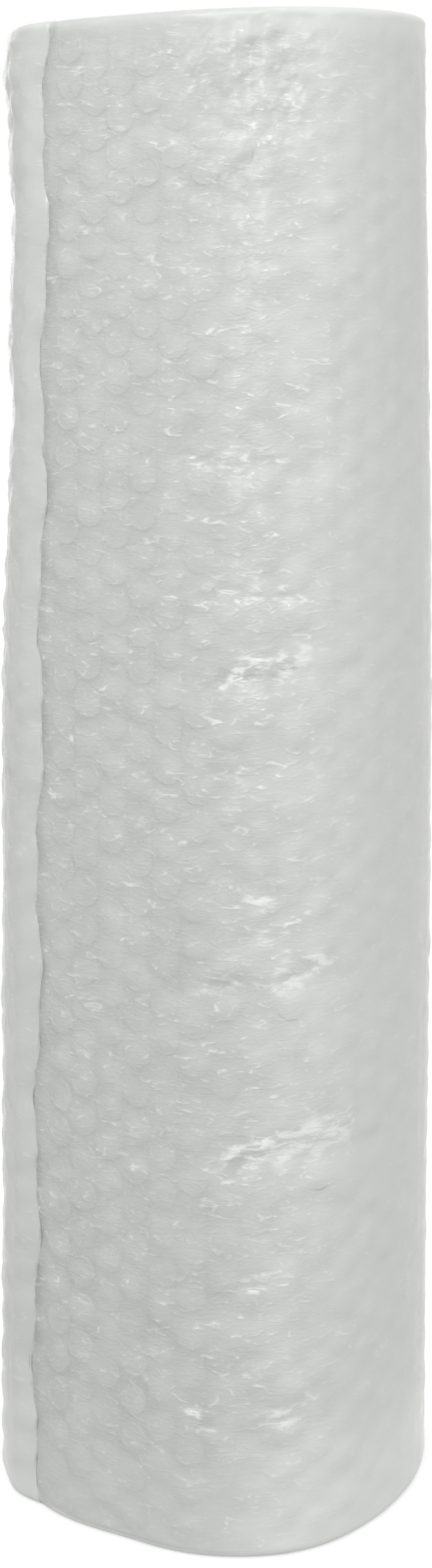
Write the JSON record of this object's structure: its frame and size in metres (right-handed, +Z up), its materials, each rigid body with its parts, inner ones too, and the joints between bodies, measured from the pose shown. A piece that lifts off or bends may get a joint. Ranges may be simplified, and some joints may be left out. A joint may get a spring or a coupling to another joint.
{
  "type": "bubble film roll",
  "caption": "Soft roll of clear air bubble cushioning film, wound flat side out round an open eye, creased and gathered, standing on its end.",
  "frame": {"origin": "on the roll's winding axis, at the end it stands on", "axes": "+Z up along the winding axis, -Y towards the viewer of the picture, +X to the viewer's right"},
  "size_m": [0.1506, 0.1478, 0.4999],
  "materials": {
    "film": "clear polyethylene film, milky where it lies in many layers"
  },
  "bodies": {
    "root": {"wound_sheet": "film"}
  },
  "joints": []
}
